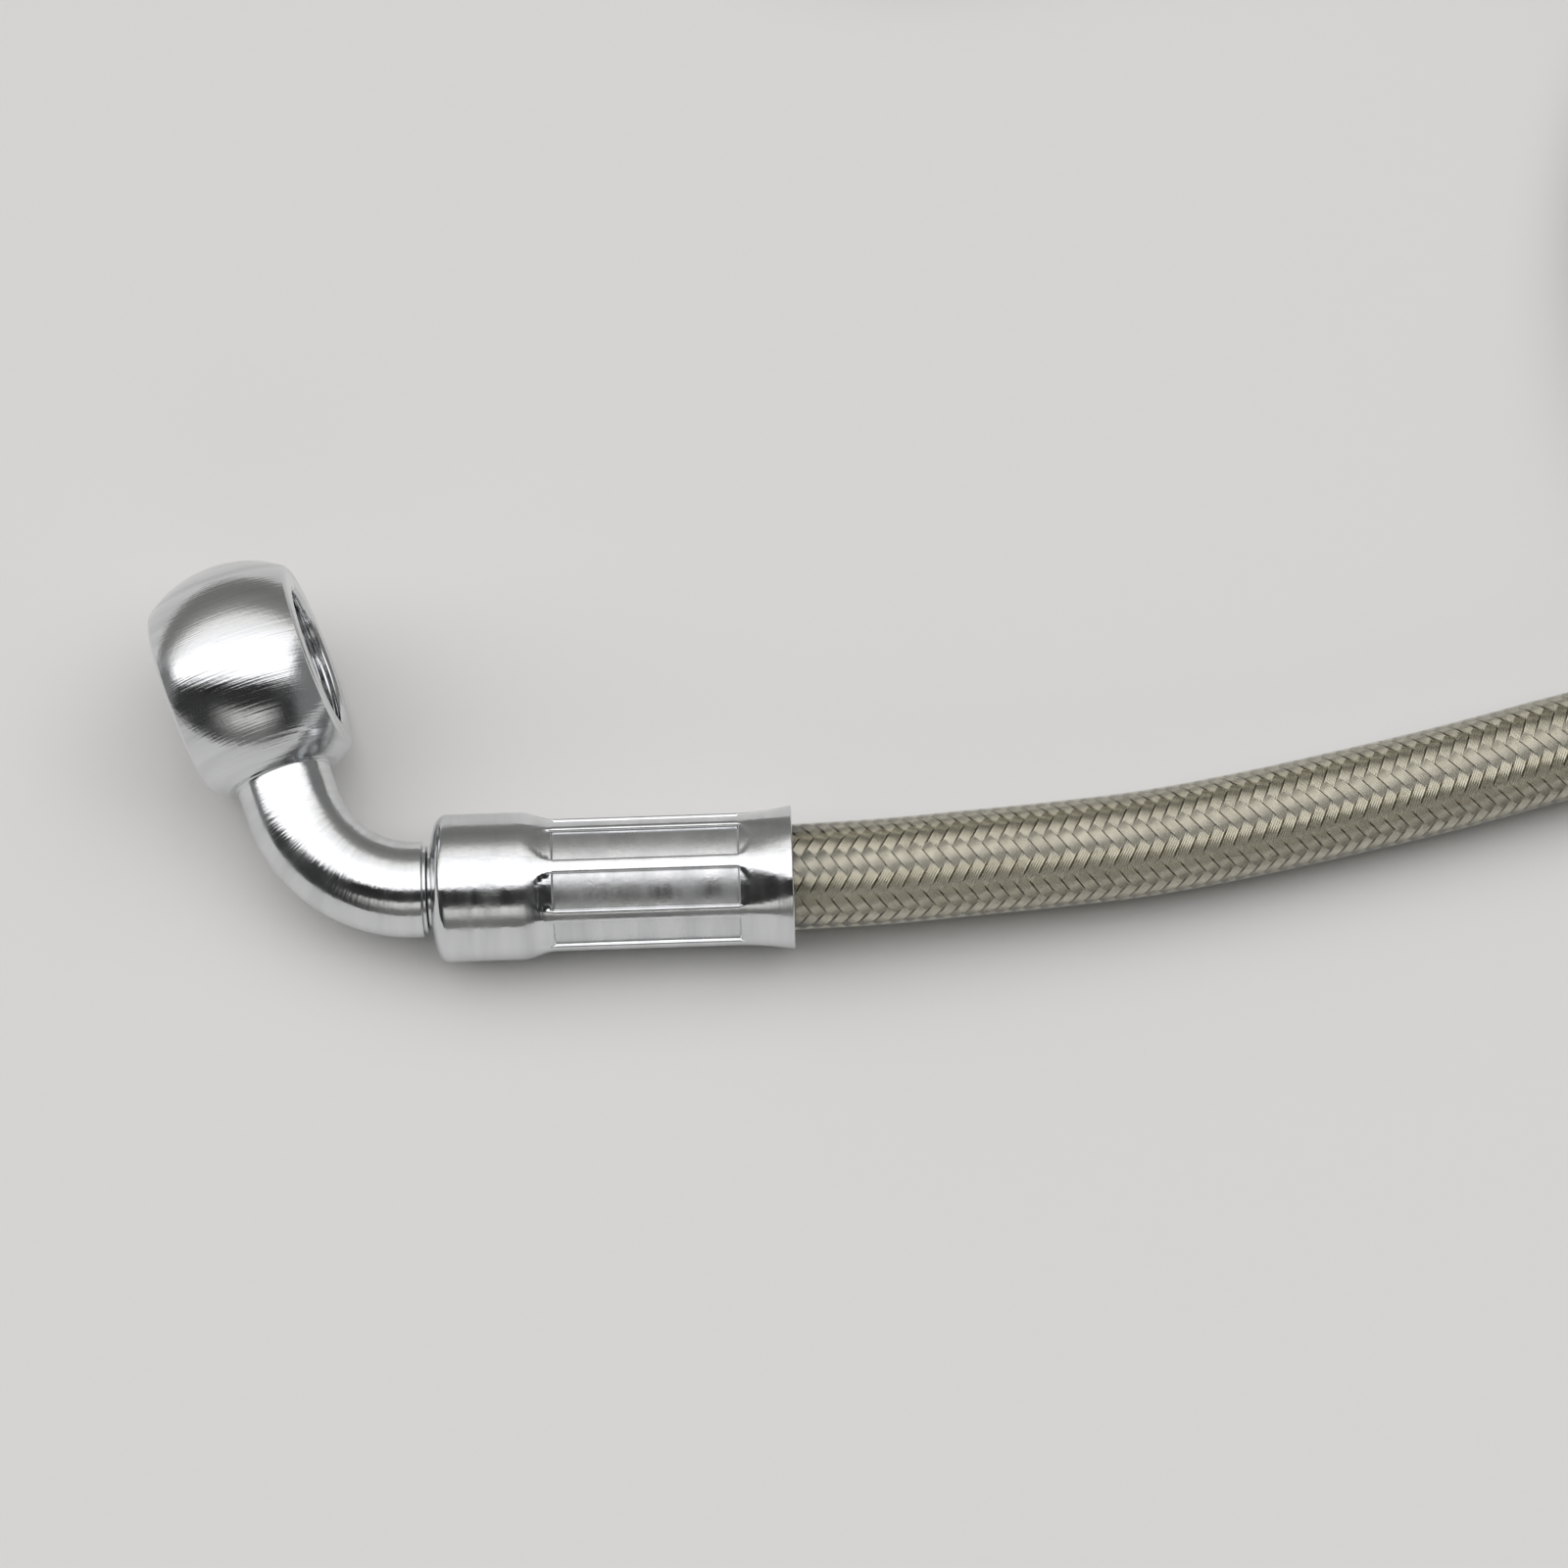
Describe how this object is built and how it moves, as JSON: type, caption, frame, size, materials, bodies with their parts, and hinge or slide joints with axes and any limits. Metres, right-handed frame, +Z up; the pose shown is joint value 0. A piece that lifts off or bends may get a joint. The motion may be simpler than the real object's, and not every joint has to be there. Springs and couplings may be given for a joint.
{
  "type": "brake hose",
  "caption": "Braided hydraulic brake hose in a clear jacket, with a bent banjo fitting crimped on one end and a straight banjo on the other, spare length coiled.",
  "frame": {"origin": "on the surface that the hose lies on, under the middle of the bent end's bounding box", "axes": "+X along the bent end's ferrule, from its closed end towards the hose; +Z up"},
  "size_m": [0.19, 0.1017, 0.017],
  "materials": {
    "zinc_plate": "bright zinc plating over fine turning marks",
    "liner": "smooth white liner",
    "braid": "woven stainless wire",
    "clear_jacket": "clear glossy jacket",
    "tie": "woven black strap"
  },
  "bodies": {
    "root": {"near_banjo": "zinc_plate", "near_ferrule": "zinc_plate", "near_liner_end": "liner", "near_braid_end": "braid", "near_jacket_end": "clear_jacket", "hose_free": "clear_jacket", "hose_coil": "clear_jacket", "coil_tie": "tie", "hose_tail": "clear_jacket", "far_banjo": "zinc_plate", "far_ferrule": "zinc_plate", "far_liner_end": "liner", "far_braid_end": "braid", "far_jacket_end": "clear_jacket"}
  },
  "joints": []
}
